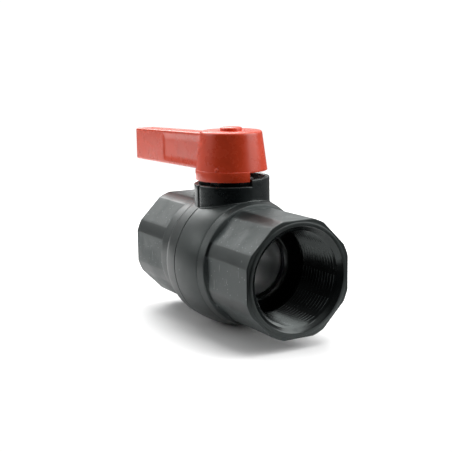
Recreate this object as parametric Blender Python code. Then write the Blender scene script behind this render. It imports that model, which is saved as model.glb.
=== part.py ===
"""Plastic seacock: a two-half ball valve body with a lever handle.

The origin is where the pipe axis (X) crosses the stem axis (Z). The valve is open at rest:
the ball's bore lies along X and the lever points towards -X. Turning the handle a quarter
turn clockwise, seen from above, closes it. Every object's origin lies on the stem axis.
"""

import math

import bmesh
import bpy

MM = 0.001
GAP = 0.3 * MM                  # left between pieces that touch

# Body outside
ACROSS_FLATS = 56.4 * MM
CORNER_RADIUS = 29.35 * MM      # the octagon's corners are turned to this radius
FACE_FRONT = 61.2 * MM          # socket faces, from the stem axis
FACE_REAR = 56.1 * MM
FACE_CHAMFER = 0.8 * MM
BARREL_RADIUS = 33.8 * MM
BARREL_CROWN = 99.0 * MM        # radius of the barrel's lengthwise curve
BARREL_END = 18.9 * MM
BARREL_FALL = 0.6 * MM          # the front end's extra fall below the lengthwise curve
RING_RADIUS_IN = 31.4 * MM
RING_RADIUS_OUT = 30.4 * MM
RING_END = 23.9 * MM
SHOULDER_END = 24.6 * MM        # foot of the ring's steep front wall, below the flats
SHOULDER_RADIUS = 27.5 * MM
REAR_BAND_FLAT = 8.1 * MM       # the rear half's share of the barrel, up to its broad rounding
REAR_BAND_END = 12.0 * MM
REAR_BAND_FALL = 0.9 * MM
NECK_RADIUS = 29.5 * MM         # from the rear band to where the rear flats start
NECK_END = 24.5 * MM
FLATS_START = 22.4 * MM

# Sockets: 1 1/2 in parallel pipe thread, as a plain bore at the thread's minor radius
THREAD_BORE = 22.4 * MM
THREAD_START = 3.1 * MM         # behind the face
THREAD_END = 29.5 * MM
LEAD_IN_RADIUS = 25.4 * MM
RELIEF_RADIUS = 24.0 * MM
SOCKET_BOTTOM = 25.9 * MM
PORT_RADIUS = 16.9 * MM

# Ball and seats
BALL_RADIUS = 26.0 * MM
BALL_BORE = 15.7 * MM
CAVITY_RADIUS = 26.8 * MM
SEAT_POCKET = 22.3 * MM         # radius of the seat's pocket, and where its back wall lies
SEAT_INNER = 16.5 * MM
SEAT_GROOVE_IN = 18.25 * MM
SEAT_GROOVE_OUT = 20.75 * MM
SEAT_RING_WIRE = 0.95 * MM
SLOT_WIDTH = 7.6 * MM
SLOT_BOTTOM = 20.0 * MM

# Stem
STEM_RADIUS = 7.5 * MM
STEM_FLANGE = 10.5 * MM
FLANGE_BOTTOM = 26.6 * MM
FLANGE_TOP = 29.6 * MM
WASHER_HEIGHT = 1.5 * MM
STEM_SHOULDER = 41.4 * MM
STEM_TOP = 53.0 * MM
SQUARE = 10.4 * MM              # across the square that drives the handle
TANG_WIDTH = 14.0 * MM
STEM_RING_WIRE = 0.9 * MM
STEM_RING_HEIGHTS = (33.7 * MM, 37.2 * MM)
INSERT_RADIUS = 3.4 * MM
INSERT_LENGTH = 8.0 * MM
SCREW_RADIUS = 2.5 * MM

# Collar round the stem, with the stops
COLLAR_RADIUS = 19.3 * MM
COLLAR_WALL = 2.5 * MM
COLLAR_FLOOR = 34.5 * MM
COLLAR_LOW = 38.8 * MM
COLLAR_HIGH = 42.2 * MM
BOSS_RADIUS = 11.0 * MM
BOSS_TOP = 41.0 * MM
SEAL_OUTER = 8.9 * MM
SEAL_BOTTOM = 39.5 * MM
SEAL_TOP = 41.2 * MM
STOP_INSET = 0.5 * MM           # from the plane through the stem axis to the stop's near end
STOP_ANGLE = 120.0              # degrees that the stop covers, from +X towards +Y
SKIRT_ANGLE = 150.0             # degrees that the skirt covers, from +X towards -Y
SKIRT_INSET = 0.5               # degrees from each limit to the skirt's ends

# Handle
HUB_BOTTOM = 45.4 * MM
HUB_TOP = 65.3 * MM
HUB_RADIUS_LOW = 18.2 * MM
HUB_RADIUS_HIGH = 15.6 * MM
HUB_WALL = 2.4 * MM
HUB_ROOF = 3.0 * MM
COLUMN_RADIUS = 9.5 * MM
COLUMN_BOTTOM = 41.8 * MM
WEB_TOP = 56.0 * MM
CAP_WELL = 5.8 * MM
SKIRT_BOTTOM = 40.9 * MM
SKIRT_TOP = 46.0 * MM
SKIRT_RADIUS = 18.35 * MM
LEVER_TIP = 102.0 * MM
LEVER_ROOT = 15.0 * MM
LEVER_HALF = 6.0 * MM
LEVER_WALL = 2.4 * MM
LEVER_TIP_Z = (42.4 * MM, 60.4 * MM)
LEVER_ROOT_Z = (43.8 * MM, 63.2 * MM)

ROUND = 48                      # segments round the body and the handle
INNER_ROUND = 36                # round the ball, the seats and their O-rings
SMALL_ROUND = 24                # round the stem and its small pieces
RING_ROUND = 8                  # round an O-ring's wire

MATERIALS = {
    "body_plastic": ((0.055, 0.062, 0.062), 0.45, 0.0),
    "handle_plastic": ((0.60, 0.075, 0.035), 0.38, 0.0),
    "seat_plastic": ((0.10, 0.10, 0.10), 0.5, 0.0),
    "seal_rubber": ((0.02, 0.02, 0.02), 0.6, 0.0),
    "ball_plastic": ((0.10, 0.11, 0.11), 0.3, 0.0),
    "stem_plastic": ((0.055, 0.062, 0.062), 0.4, 0.0),
    "screw_steel": ((0.62, 0.62, 0.60), 0.3, 1.0),
    "insert_brass": ((0.72, 0.50, 0.20), 0.35, 1.0),
    "cap_plastic": ((0.60, 0.075, 0.035), 0.38, 0.0),
}


def clear_scene():
    for thing in list(bpy.data.objects):
        bpy.data.objects.remove(thing, do_unlink=True)


def finish(slot):
    """The named material, made the first time it is asked for."""
    found = bpy.data.materials.get(slot)
    if found:
        return found
    colour, roughness, metallic = MATERIALS[slot]
    made = bpy.data.materials.new(slot)
    made.use_nodes = True
    shader = made.node_tree.nodes["Principled BSDF"]
    shader.inputs["Base Color"].default_value = (*colour, 1.0)
    shader.inputs["Roughness"].default_value = roughness
    shader.inputs["Metallic"].default_value = metallic
    return made


def add_object(name, bm, slot=None):
    """A closed mesh as an object: shaded smooth as a piece, drawn as wire without a slot."""
    bmesh.ops.recalc_face_normals(bm, faces=bm.faces)
    mesh = bpy.data.meshes.new(name)
    bm.to_mesh(mesh)
    bm.free()
    made = bpy.data.objects.new(name, mesh)
    bpy.context.scene.collection.objects.link(made)
    if slot:
        mesh.materials.append(finish(slot))
        mesh.shade_smooth()
        mesh.set_sharp_from_angle(angle=math.radians(30))
    else:
        made.hide_render = True
        made.display_type = "WIRE"
    return made


def spun(profile, axis, segments, span=(0.0, 360.0), side=1):
    """A closed profile of (along, radius) points turned about X or Z, all round or over a span.

    Points at radius 0 lie on the axis and become poles. side=-1 mirrors the shape in x=0.
    """
    start, end = (math.radians(a) for a in span)
    whole = span[1] - span[0] >= 360.0
    count = segments if whole else segments + 1
    bm = bmesh.new()
    rows = []
    for along, radius in profile:
        if radius == 0.0:
            place = (side * along, 0, 0) if axis == "X" else (0, 0, along)
            rows.append([bm.verts.new(place)] * count)
            continue
        row = []
        for step in range(count):
            angle = start + (end - start) * step / segments
            across, up = radius * math.cos(angle), radius * math.sin(angle)
            place = (side * along, across, up) if axis == "X" else (across, up, along)
            row.append(bm.verts.new(place))
        rows.append(row)
    for first, second in zip(rows, rows[1:] + rows[:1]):
        for step in range(segments):
            after = (step + 1) % count
            corners = [first[step], first[after], second[after], second[step]]
            loop = list(dict.fromkeys(corners))
            if len(loop) > 2:
                bm.faces.new(loop)
    if not whole:
        bm.faces.new([row[0] for row in rows])
        bm.faces.new([row[-1] for row in rows])
    return bm


def block(low, high):
    """A box between two corners."""
    bm = bmesh.new()
    bmesh.ops.create_cube(bm, size=1.0)
    for vert in bm.verts:
        for k in range(3):
            vert.co[k] = low[k] if vert.co[k] < 0 else high[k]
    return bm


def rod(radius, low, high):
    """A plain cylinder about the stem axis, with no corner on the planes through it."""
    half_step = 180.0 / ROUND
    section = [(low, 0.0), (low, radius), (high, radius), (high, 0.0)]
    return spun(section, "Z", ROUND, span=(half_step, half_step + 360.0))


def low_rim_cutter():
    """A block with a wedge missing, which lowers the collar's rim all round but for the stop."""
    reach = COLLAR_RADIUS + 5 * MM
    inset = STOP_INSET
    angle = math.radians(STOP_ANGLE)
    far = (reach * math.cos(angle), inset + reach * math.sin(angle))
    outline = [(-reach, -reach), (reach, -reach), (reach, inset), (0.0, inset), far, (-reach, far[1])]
    bm = bmesh.new()
    rings = []
    for height in (COLLAR_LOW, COLLAR_HIGH + 5 * MM):
        rings.append([bm.verts.new((x, y, height)) for x, y in outline])
    for ring in rings:
        bm.faces.new(ring)
    for k in range(len(outline)):
        after = (k + 1) % len(outline)
        bm.faces.new([rings[0][k], rings[0][after], rings[1][after], rings[1][k]])
    return bm


def arc(radius, start, end, steps):
    """Points (along, radius) on a circle about the origin, from one angle to another."""
    angles = [math.radians(start + (end - start) * k / steps) for k in range(steps + 1)]
    return [(radius * math.sin(a), radius * math.cos(a)) for a in angles]


def combine(piece, tool, operation):
    """A boolean that keeps the exact solver."""
    step = piece.modifiers.new(operation.lower(), "BOOLEAN")
    step.operation = operation
    step.object = tool


def crown(end, steps):
    """Points on the barrel's crowned surface, from just past the seam to the given end."""
    beyond_seam = -2 * MM
    points = [(beyond_seam, 0.0)]
    for along in [beyond_seam] + [end * k / steps for k in range(steps + 1)]:
        drop = BARREL_CROWN - math.sqrt(BARREL_CROWN**2 - along**2)
        points.append((along, BARREL_RADIUS - drop))
    return points


def front_outside():
    """The crowned barrel, its end ring and the ring's steep wall down to the octagon."""
    barrel = []
    for along, radius in crown(BARREL_END, 8):
        fall = BARREL_FALL * (max(along, 0.0) / BARREL_END) ** 4
        barrel.append((along, radius - fall if radius else 0.0))
    return barrel + [
        (BARREL_END + 0.2 * MM, RING_RADIUS_IN),
        (RING_END, RING_RADIUS_OUT),
        (SHOULDER_END, SHOULDER_RADIUS),
        (SHOULDER_END, 0.0),
    ]


def rear_outside():
    """A short crowned band with a rounded edge, then a round neck as wide as the corners."""
    points = []
    for along, radius in crown(REAR_BAND_END, 8):
        rounded = max(along - REAR_BAND_FLAT, 0.0) / (REAR_BAND_END - REAR_BAND_FLAT)
        points.append((along, radius - REAR_BAND_FALL * rounded**2))
    return points + [
        (REAR_BAND_END + 0.4 * MM, NECK_RADIUS),
        (NECK_END, NECK_RADIUS),
        (NECK_END, 0.0),
    ]


def octagon(face, side):
    """The wrench flats: an octagon with turned corners, chamfered at the socket face."""
    half = ACROSS_FLATS / 2
    reach = math.degrees(math.acos(half / CORNER_RADIUS))
    turns = 3
    outline = []
    for flat in range(0, 360, 45):
        outline.append((flat - reach, CORNER_RADIUS))
        corner = 45 - 2 * reach
        for k in range(turns):
            outline.append((flat + reach + corner * k / turns, CORNER_RADIUS))
    bm = bmesh.new()
    rings = []
    shrunk = (half - FACE_CHAMFER) / half
    for along, scale in ((FLATS_START, 1.0), (face - FACE_CHAMFER, 1.0), (face, shrunk)):
        ring = []
        for angle, radius in outline:
            across = scale * radius * math.sin(math.radians(angle))
            up = scale * radius * math.cos(math.radians(angle))
            ring.append(bm.verts.new((side * along, across, up)))
        rings.append(ring)
    count = len(outline)
    for first, second in zip(rings, rings[1:]):
        for k in range(count):
            after = (k + 1) % count
            bm.faces.new([first[k], first[after], second[after], second[k]])
    bm.faces.new(rings[0])
    bm.faces.new(rings[-1])
    return bm


def waterway_profile(face):
    """Everything cut from one half along the pipe axis, from the ball's cavity to the socket."""
    seat_angle = math.degrees(math.acos(SEAT_POCKET / CAVITY_RADIUS))
    beyond = 1.0 * MM
    lead_slope = (LEAD_IN_RADIUS - THREAD_BORE) / THREAD_START
    points = [(-5 * MM, 0.0), (-5 * MM, CAVITY_RADIUS)]
    points += arc(CAVITY_RADIUS, 0.0, seat_angle, 5)
    points += [
        (SEAT_POCKET, SEAT_POCKET),
        (SEAT_POCKET, PORT_RADIUS),
        (SOCKET_BOTTOM, PORT_RADIUS),
        (SOCKET_BOTTOM, RELIEF_RADIUS),
        (THREAD_END, RELIEF_RADIUS),
        (THREAD_END + (RELIEF_RADIUS - THREAD_BORE), THREAD_BORE),
        (face - THREAD_START, THREAD_BORE),
        (face + beyond, LEAD_IN_RADIUS + beyond * lead_slope),
        (face + beyond, 0.0),
    ]
    return points


def stem_bore_profile():
    """The bore for the stem: a counterbore for its flange, and a recess for the dust seal."""
    flange_bore = STEM_FLANGE + GAP
    ceiling = FLANGE_TOP + WASHER_HEIGHT + 2 * GAP
    stem_bore = STEM_RADIUS + GAP
    recess = SEAL_OUTER + GAP
    return [
        (18 * MM, 0.0),
        (18 * MM, flange_bore),
        (ceiling, flange_bore),
        (ceiling, stem_bore),
        (SEAL_BOTTOM - GAP, stem_bore),
        (SEAL_BOTTOM - GAP, recess),
        (BOSS_TOP + MM, recess),
        (BOSS_TOP + MM, 0.0),
    ]


def collar(name):
    """The collar round the stem: a cup with a stop raised on part of its rim, and a boss inside."""
    made = add_object(name, rod(COLLAR_RADIUS, 22 * MM, COLLAR_HIGH))
    lowered = add_object(name + "_low_rim", low_rim_cutter())
    above = COLLAR_HIGH + 2 * MM
    cup = add_object(name + "_cup", rod(COLLAR_RADIUS - COLLAR_WALL, COLLAR_FLOOR, above))
    boss = add_object(name + "_boss", rod(BOSS_RADIUS, COLLAR_FLOOR - 2 * MM, BOSS_TOP))
    combine(made, lowered, "DIFFERENCE")
    combine(made, cup, "DIFFERENCE")
    combine(made, boss, "UNION")
    return made


def body_half(name, side, face, outside):
    """One moulded half of the body, joined to the other in the plane of the stem axis."""
    half = add_object(name, spun(outside, "X", ROUND, side=side), "body_plastic")
    nut = add_object(name + "_flats", octagon(face, side))
    waterway = add_object(name + "_waterway", spun(waterway_profile(face), "X", ROUND, side=side))
    stem_bore = add_object(name + "_stem_bore", spun(stem_bore_profile(), "Z", ROUND))
    reach = 90 * MM
    ends = sorted((-side * reach, side * GAP / 2))
    beyond_seam = add_object(name + "_seam", block((ends[0], -reach, -reach), (ends[1], reach, reach)))
    combine(half, nut, "UNION")
    combine(half, collar(name + "_collar"), "UNION")
    for tool in (waterway, stem_bore, beyond_seam):
        combine(half, tool, "DIFFERENCE")
    return half


def ball():
    """The ball, bored along X, with a slot across its top for the stem's tang."""
    edge = math.degrees(math.acos(BALL_BORE / BALL_RADIUS))
    made = add_object("ball", spun(arc(BALL_RADIUS, -edge, edge, 12), "X", INNER_ROUND), "ball_plastic")
    slot = block((-SLOT_WIDTH / 2, -BALL_RADIUS, SLOT_BOTTOM), (SLOT_WIDTH / 2, BALL_RADIUS, 2 * BALL_RADIUS))
    combine(made, add_object("ball_slot", slot), "DIFFERENCE")
    return made


def seat_mesh():
    """A seat: a ring whose face fits the ball, with a groove in its back for an O-ring."""
    back = SEAT_POCKET - GAP
    outer = SEAT_POCKET - GAP
    ball_clear = BALL_RADIUS + GAP
    inner_angle = math.degrees(math.acos(SEAT_INNER / ball_clear))
    outer_angle = math.degrees(math.acos(outer / ball_clear))
    groove = back - 2 * SEAT_RING_WIRE - GAP
    points = arc(ball_clear, inner_angle, outer_angle, 3)
    points += [
        (back, outer),
        (back, SEAT_GROOVE_OUT),
        (groove, SEAT_GROOVE_OUT),
        (groove, SEAT_GROOVE_IN),
        (back, SEAT_GROOVE_IN),
        (back, SEAT_INNER),
    ]
    return spun(points, "X", INNER_ROUND)


def o_ring(radius, wire, axis, segments):
    """An O-ring about the given axis, centred on the origin."""
    points = []
    for k in range(RING_ROUND):
        angle = 2 * math.pi * k / RING_ROUND
        points.append((wire * math.sin(angle), radius + wire * math.cos(angle)))
    return spun(points, axis, segments)


def seats():
    """A seat and its O-ring on each side of the ball. The rear pair is turned half round."""
    ring_centre = SEAT_POCKET - GAP - SEAT_RING_WIRE
    ring_radius = (SEAT_GROOVE_IN + SEAT_GROOVE_OUT) / 2
    for end, turn in (("front", 0.0), ("rear", math.pi)):
        seat = add_object("seat_" + end, seat_mesh(), "seat_plastic")
        seat.rotation_euler.z = turn
        wire = o_ring(ring_radius, SEAT_RING_WIRE, "X", INNER_ROUND)
        ring = add_object("seat_oring_" + end, wire, "seal_rubber")
        ring.location.x = ring_centre * math.cos(turn)


def stem():
    """The stem: tang, flange, shaft with two O-ring grooves, square head, hole for the insert."""
    groove_half = STEM_RING_WIRE + GAP
    groove_radius = STEM_RADIUS - 2 * STEM_RING_WIRE - GAP
    shaft = [
        (FLANGE_BOTTOM, 0.0),
        (FLANGE_BOTTOM, STEM_FLANGE),
        (FLANGE_TOP, STEM_FLANGE),
        (FLANGE_TOP, STEM_RADIUS),
    ]
    for height in STEM_RING_HEIGHTS:
        shaft += [
            (height - groove_half, STEM_RADIUS),
            (height - groove_half, groove_radius),
            (height + groove_half, groove_radius),
            (height + groove_half, STEM_RADIUS),
        ]
    shaft += [(STEM_SHOULDER, STEM_RADIUS), (STEM_SHOULDER, 0.0)]
    made = add_object("stem", spun(shaft, "Z", SMALL_ROUND), "stem_plastic")
    thickness = SLOT_WIDTH / 2 - GAP
    overlap = 1.0 * MM
    tang = block(
        (-thickness, -TANG_WIDTH / 2, SLOT_BOTTOM + GAP),
        (thickness, TANG_WIDTH / 2, FLANGE_BOTTOM + overlap),
    )
    half = SQUARE / 2
    head = block((-half, -half, STEM_SHOULDER - overlap), (half, half, STEM_TOP))
    hole_radius = INSERT_RADIUS + GAP
    hole = [(STEM_TOP - INSERT_LENGTH - 2 * GAP, 0.0), (STEM_TOP - INSERT_LENGTH - 2 * GAP, hole_radius)]
    hole += [(STEM_TOP + MM, hole_radius), (STEM_TOP + MM, 0.0)]
    combine(made, add_object("stem_tang", tang), "UNION")
    combine(made, add_object("stem_square", head), "UNION")
    combine(made, add_object("stem_insert_hole", spun(hole, "Z", SMALL_ROUND)), "DIFFERENCE")
    return made


def ring_piece(name, low, high, inner, outer, slot):
    """A flat ring about the stem axis."""
    section = [(low, inner), (low, outer), (high, outer), (high, inner)]
    return add_object(name, spun(section, "Z", SMALL_ROUND), slot)


def stem_seals():
    """The thrust washer over the flange, two O-rings, the dust seal and the threaded insert."""
    low = FLANGE_TOP + GAP
    ring_piece("stem_thrust_washer", low, low + WASHER_HEIGHT, STEM_RADIUS + GAP, STEM_FLANGE, "seat_plastic")
    radius = STEM_RADIUS - STEM_RING_WIRE
    for name, height in zip(("stem_oring_lower", "stem_oring_upper"), STEM_RING_HEIGHTS):
        ring = add_object(name, o_ring(radius, STEM_RING_WIRE, "Z", SMALL_ROUND), "seal_rubber")
        ring.location.z = height
    ring_piece("stem_dust_seal", SEAL_BOTTOM, SEAL_TOP, STEM_RADIUS + GAP, SEAL_OUTER, "seal_rubber")
    top = STEM_TOP - GAP
    ring_piece("stem_insert", top - INSERT_LENGTH, top, SCREW_RADIUS + GAP, INSERT_RADIUS, "insert_brass")


def tapered_bar(x_ends, root_z, tip_z, half_width):
    """A bar along X whose bottom and top edges run straight from root to tip."""
    bm = bmesh.new()
    ends = []
    for x, (low, high) in zip(x_ends, (root_z, tip_z)):
        corners = ((-half_width, low), (half_width, low), (half_width, high), (-half_width, high))
        ends.append([bm.verts.new((x, y, z)) for y, z in corners])
    root, tip = ends
    bm.faces.new(root)
    bm.faces.new(tip)
    for k in range(4):
        after = (k + 1) % 4
        bm.faces.new([root[k], root[after], tip[after], tip[k]])
    return bm


def lever():
    """The lever's outside and the channel that hollows it from below."""
    outside = tapered_bar((-LEVER_ROOT, -LEVER_TIP), LEVER_ROOT_Z, LEVER_TIP_Z, LEVER_HALF)
    bar = add_object("handle_lever", outside)
    rounding = bar.modifiers.new("rounding", "BEVEL")
    rounding.width = 0.9 * MM
    rounding.segments = 2
    below = 5 * MM
    channel = tapered_bar(
        (-LEVER_ROOT - 6 * MM, -LEVER_TIP + LEVER_WALL),
        (LEVER_ROOT_Z[0] - below, LEVER_ROOT_Z[1] - HUB_ROOF),
        (LEVER_TIP_Z[0] - below, LEVER_TIP_Z[1] - HUB_ROOF),
        LEVER_HALF - LEVER_WALL,
    )
    return bar, add_object("handle_channel", channel)


def handle():
    """The handle: a hollow conical hub with a central column, a stop skirt and the lever."""
    rim = 1.4 * MM
    roof = HUB_TOP - HUB_ROOF
    section = [
        (COLUMN_BOTTOM, SCREW_RADIUS + GAP),
        (COLUMN_BOTTOM, COLUMN_RADIUS),
        (roof, COLUMN_RADIUS),
        (roof, HUB_RADIUS_HIGH - HUB_WALL),
        (HUB_BOTTOM, HUB_RADIUS_LOW - HUB_WALL),
        (HUB_BOTTOM, HUB_RADIUS_LOW),
        (HUB_TOP - rim, HUB_RADIUS_HIGH + 0.1 * MM),
        (HUB_TOP - 0.3 * rim, HUB_RADIUS_HIGH - 0.35 * rim),
        (HUB_TOP, HUB_RADIUS_HIGH - rim),
        (HUB_TOP, CAP_WELL),
        (WEB_TOP, CAP_WELL),
        (WEB_TOP, SCREW_RADIUS + GAP),
    ]
    made = add_object("handle", spun(section, "Z", ROUND), "handle_plastic")
    inner = HUB_RADIUS_LOW - HUB_WALL + 0.1 * MM
    skirt = [
        (SKIRT_BOTTOM, inner),
        (SKIRT_BOTTOM, SKIRT_RADIUS),
        (SKIRT_TOP, SKIRT_RADIUS),
        (SKIRT_TOP, inner),
    ]
    skirt_span = (-SKIRT_ANGLE + SKIRT_INSET, -SKIRT_INSET)
    stop = add_object("handle_skirt", spun(skirt, "Z", SMALL_ROUND, span=skirt_span))
    half = SQUARE / 2 + GAP
    socket_low = (-half, -half, COLUMN_BOTTOM - MM)
    socket = add_object("handle_socket", block(socket_low, (half, half, STEM_TOP + GAP)))
    bar, channel = lever()
    combine(made, stop, "UNION")
    combine(made, bar, "UNION")
    combine(made, channel, "DIFFERENCE")
    combine(made, socket, "DIFFERENCE")
    return made


def handle_fixings():
    """The screw that holds the handle, its washer, and the cap over them."""
    washer_low = WEB_TOP + GAP
    washer_top = washer_low + 1.0 * MM
    ring_piece("handle_screw_washer", washer_low, washer_top, SCREW_RADIUS + GAP, 5.2 * MM, "screw_steel")
    head_low = washer_top + GAP
    head_top = head_low + 2.8 * MM
    head_radius = 4.6 * MM
    tip = STEM_TOP - INSERT_LENGTH
    screw = [
        (tip, 0.0),
        (tip, SCREW_RADIUS - 0.5 * MM),
        (tip + 0.7 * MM, SCREW_RADIUS),
        (head_low, SCREW_RADIUS),
        (head_low, head_radius),
        (head_top - 0.6 * MM, head_radius),
        (head_top, head_radius - 0.6 * MM),
        (head_top, 0.0),
    ]
    made = add_object("handle_screw", spun(screw, "Z", SMALL_ROUND), "screw_steel")
    hex_radius = 2.3 * MM
    recess = [(head_top - 1.8 * MM, 0.0), (head_top - 1.8 * MM, hex_radius)]
    recess += [(head_top + MM, hex_radius), (head_top + MM, 0.0)]
    combine(made, add_object("screw_recess", spun(recess, "Z", 6)), "DIFFERENCE")
    cap_radius = CAP_WELL - GAP
    cap = [
        (head_top + GAP, 0.0),
        (head_top + GAP, cap_radius),
        (HUB_TOP + 1.1 * MM, cap_radius),
        (HUB_TOP + 1.7 * MM, cap_radius - 0.9 * MM),
        (HUB_TOP + 1.95 * MM, cap_radius - 2.8 * MM),
        (HUB_TOP + 2.0 * MM, 0.0),
    ]
    add_object("handle_cap", spun(cap, "Z", SMALL_ROUND), "cap_plastic")


clear_scene()
body_half("body_front", 1, FACE_FRONT, front_outside())
body_half("body_rear", -1, FACE_REAR, rear_outside())
ball()
seats()
stem()
stem_seals()
handle()
handle_fixings()
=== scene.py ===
import bmesh
import bpy
import numpy as np
from mathutils import Matrix, Vector


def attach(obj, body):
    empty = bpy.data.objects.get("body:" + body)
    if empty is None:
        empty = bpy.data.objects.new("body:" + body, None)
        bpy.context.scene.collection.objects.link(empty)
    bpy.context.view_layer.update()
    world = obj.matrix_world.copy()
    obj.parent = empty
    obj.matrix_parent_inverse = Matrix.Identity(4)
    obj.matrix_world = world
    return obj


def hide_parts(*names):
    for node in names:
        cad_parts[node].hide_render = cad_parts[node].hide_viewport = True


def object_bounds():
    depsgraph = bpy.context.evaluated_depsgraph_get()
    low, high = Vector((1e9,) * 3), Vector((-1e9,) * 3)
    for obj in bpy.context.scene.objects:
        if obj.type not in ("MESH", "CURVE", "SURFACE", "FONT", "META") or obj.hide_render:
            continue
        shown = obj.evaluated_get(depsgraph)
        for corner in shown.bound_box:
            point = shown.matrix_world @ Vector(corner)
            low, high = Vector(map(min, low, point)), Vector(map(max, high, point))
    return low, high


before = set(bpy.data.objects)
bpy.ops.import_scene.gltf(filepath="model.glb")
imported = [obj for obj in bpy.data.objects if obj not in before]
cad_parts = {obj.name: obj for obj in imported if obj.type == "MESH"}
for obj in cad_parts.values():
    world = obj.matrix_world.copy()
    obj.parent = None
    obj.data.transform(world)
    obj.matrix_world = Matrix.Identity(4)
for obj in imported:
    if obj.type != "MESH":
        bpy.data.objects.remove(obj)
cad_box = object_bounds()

# Studio: a pale floor under the barrel, one long-lens camera that looks along the pipe past
# the open socket, a bright tent with a dark gap on the camera's side, and three softboxes.
MM = 0.001
scene = bpy.context.scene
scene.view_settings.view_transform = "Standard"
view_azimuth, view_elevation, view_roll = np.radians((60.30, 10.38, -0.90))
toward_camera = np.array((
    np.sin(view_azimuth) * np.cos(view_elevation),
    -np.cos(view_azimuth) * np.cos(view_elevation),
    np.sin(view_elevation),
))
level_right = np.array((np.cos(view_azimuth), np.sin(view_azimuth), 0.0))
level_up = np.cross(toward_camera, level_right)
camera_right = np.cos(view_roll) * level_right + np.sin(view_roll) * level_up
camera_up = np.cos(view_roll) * level_up - np.sin(view_roll) * level_right
camera_data = bpy.data.cameras.new("studio_camera")
camera_data.lens = 78.69
camera_data.sensor_width = 36.0
camera_data.clip_start = 0.02
camera = bpy.data.objects.new("studio_camera", camera_data)
scene.collection.objects.link(camera)
camera_place = np.array((431.8, -250.1, 107.7)) * MM
turn = np.column_stack((camera_right, camera_up, toward_camera))
camera.matrix_world = Matrix.Translation(camera_place) @ Matrix(turn.tolist()).to_4x4()
scene.camera = camera


def add_node(tree, kind, wires=(), **settings):
    """A shader node. settings are its own properties; wires are its inputs, as values or sockets."""
    made = tree.nodes.new("ShaderNode" + kind)
    for key, value in settings.items():
        setattr(made, key, value)
    for key, value in dict(wires).items():
        if isinstance(value, bpy.types.NodeSocket):
            tree.links.new(value, made.inputs[key])
        else:
            made.inputs[key].default_value = value
    return made


def smooth_step(tree, value, low, high, start=0.0, end=1.0):
    """The value eased from start at low to end at high."""
    wires = {"Value": value, "From Min": low, "From Max": high, "To Min": start, "To Max": end}
    return add_node(tree, "MapRange", wires, interpolation_type="SMOOTHSTEP").outputs["Result"]


def times(tree, first, second, operation="MULTIPLY"):
    """Two numbers joined by one arithmetic operation."""
    return add_node(tree, "Math", {0: first, 1: second}, operation=operation).outputs[0]


world = bpy.data.worlds.new("light_tent")
scene.world = world
world.use_nodes = True
tent = world.node_tree
tent.nodes.clear()
sky_direction = add_node(tent, "TexCoord").outputs["Generated"]
level_camera = (np.sin(view_azimuth), -np.cos(view_azimuth), 0.0)
toward = add_node(tent, "VectorMath", {0: sky_direction, 1: level_camera}, operation="DOT_PRODUCT")
height = add_node(tent, "SeparateXYZ", {"Vector": sky_direction}).outputs["Z"]
camera_gap = smooth_step(tent, toward.outputs["Value"], 0.0, 0.65, 1.0, 0.05)
low_band = smooth_step(tent, height, 0.10, 0.42, 0.22, 1.0)
overhead = smooth_step(tent, height, 0.60, 0.98, 0.0, 0.6)
tent_light = times(tent, times(tent, camera_gap, low_band), overhead, "MAXIMUM")
seen = add_node(tent, "Background", {"Color": (1.0, 1.0, 1.0, 1.0), "Strength": 1.05})
unseen = add_node(tent, "Background", {"Color": (1.0, 1.0, 1.0, 1.0), "Strength": tent_light})
camera_ray = add_node(tent, "LightPath").outputs["Is Camera Ray"]
joined = add_node(tent, "MixShader", {0: camera_ray, 1: unseen.outputs[0], 2: seen.outputs[0]})
add_node(tent, "OutputWorld", {"Surface": joined.outputs[0]})


def softbox(name, around, elevation, distance, width, height, radiance):
    """A rectangular light that faces the valve; around is degrees to the right of the camera."""
    a, e = np.radians((around, elevation))
    level = np.cos(a) * np.array(level_camera) + np.sin(a) * level_right
    aim = np.cos(e) * level + np.array((0.0, 0.0, np.sin(e)))
    data = bpy.data.lights.new(name, "AREA")
    data.shape = "RECTANGLE"
    data.size, data.size_y = width, height
    data.energy = radiance * np.pi * width * height
    made = bpy.data.objects.new(name, data)
    scene.collection.objects.link(made)
    made.location = Vector(aim * distance)
    made.rotation_euler = Vector(aim).to_track_quat("Z", "Y").to_euler()


softbox("softbox_right", 84.0, 28.0, 1.0, 0.90, 0.75, 3.4)
softbox("softbox_left", -92.0, 24.0, 1.1, 0.70, 0.45, 2.0)
softbox("softbox_back", -160.0, 39.0, 1.1, 0.78, 0.60, 6.5)
softbox("softbox_top", 120.0, 76.0, 1.1, 0.90, 0.90, 3.0)

floor_mesh = bpy.data.meshes.new("floor")
floor_ends = [(-0.6, -1.0), (0.10, -0.22), (0.10, 0.11), (-0.6, 0.11)]
corners = [ahead * np.array(level_camera) + side * level_right for ahead, side in floor_ends]
floor_mesh.from_pydata([(x, y, cad_box[0].z) for x, y, _ in corners], [], [(0, 1, 2, 3)])
floor = bpy.data.objects.new("floor", floor_mesh)
scene.collection.objects.link(floor)
floor_paint = bpy.data.materials.new("floor_paint")
floor_paint.use_nodes = True
floor_shader = floor_paint.node_tree.nodes["Principled BSDF"]
floor_shader.inputs["Base Color"].default_value = (0.93, 0.93, 0.93, 1.0)
floor_shader.inputs["Roughness"].default_value = 0.9
floor_shader.inputs["Specular IOR Level"].default_value = 0.1
floor_mesh.materials.append(floor_paint)


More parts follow.
